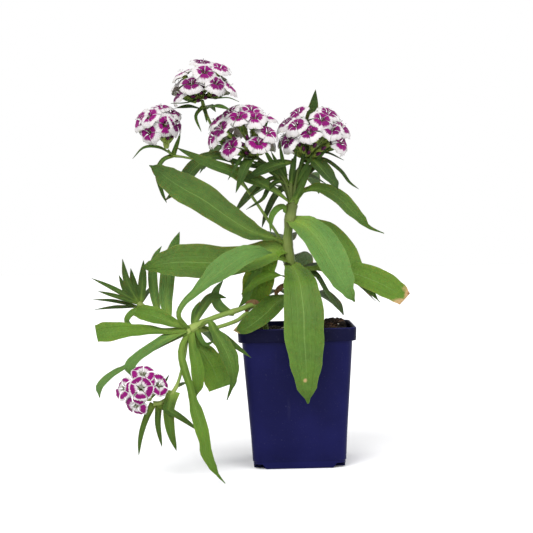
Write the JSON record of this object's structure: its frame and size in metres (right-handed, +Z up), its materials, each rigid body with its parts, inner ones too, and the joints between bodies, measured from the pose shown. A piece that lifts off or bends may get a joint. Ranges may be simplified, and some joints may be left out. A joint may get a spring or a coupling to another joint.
{
  "type": "potted sweet william plant",
  "caption": "Flowering sweet william in a square blue nursery pot, with broad leaves, a trailing side shoot and clustered white and magenta heads.",
  "frame": {"origin": "middle of the pot's underside, on the surface it stands on", "axes": "+Z up along the plant, -Y towards the front of the picture, +X to its right"},
  "size_m": [0.2967, 0.2102, 0.3781],
  "materials": {
    "pot_plastic": "dark navy blue moulded plastic, satin",
    "soil": "dark crumbly potting mix",
    "main_leaves": "mid green leaf, soft sheen",
    "side_leaves": "light green stem and narrow leaf",
    "trailing_leaves": "mid green leaf, soft sheen",
    "tuft_leaves": "dark green narrow leaf",
    "first_calyxes": "olive green calyx",
    "first_petals": "white petal with a magenta ring",
    "second_calyxes": "olive green calyx",
    "second_petals": "white petal with a magenta ring",
    "third_calyxes": "olive green calyx",
    "third_petals": "white petal with a magenta ring",
    "fourth_calyxes": "olive green calyx",
    "fourth_petals": "white petal with a magenta ring",
    "low_calyxes": "olive green calyx",
    "low_petals": "white petal with a magenta ring"
  },
  "bodies": {
    "root": {"pot": "pot_plastic", "soil": "soil", "main_stem": "main_leaves", "side_stem": "side_leaves", "trailing_stem": "trailing_leaves", "tuft_stem": "tuft_leaves", "first_head_calyxes": "first_calyxes", "first_head_florets": "first_petals", "second_head_calyxes": "second_calyxes", "second_head_florets": "second_petals", "third_head_calyxes": "third_calyxes", "third_head_florets": "third_petals", "fourth_head_calyxes": "fourth_calyxes", "fourth_head_florets": "fourth_petals", "low_head_calyxes": "low_calyxes", "low_head_florets": "low_petals"}
  },
  "joints": []
}
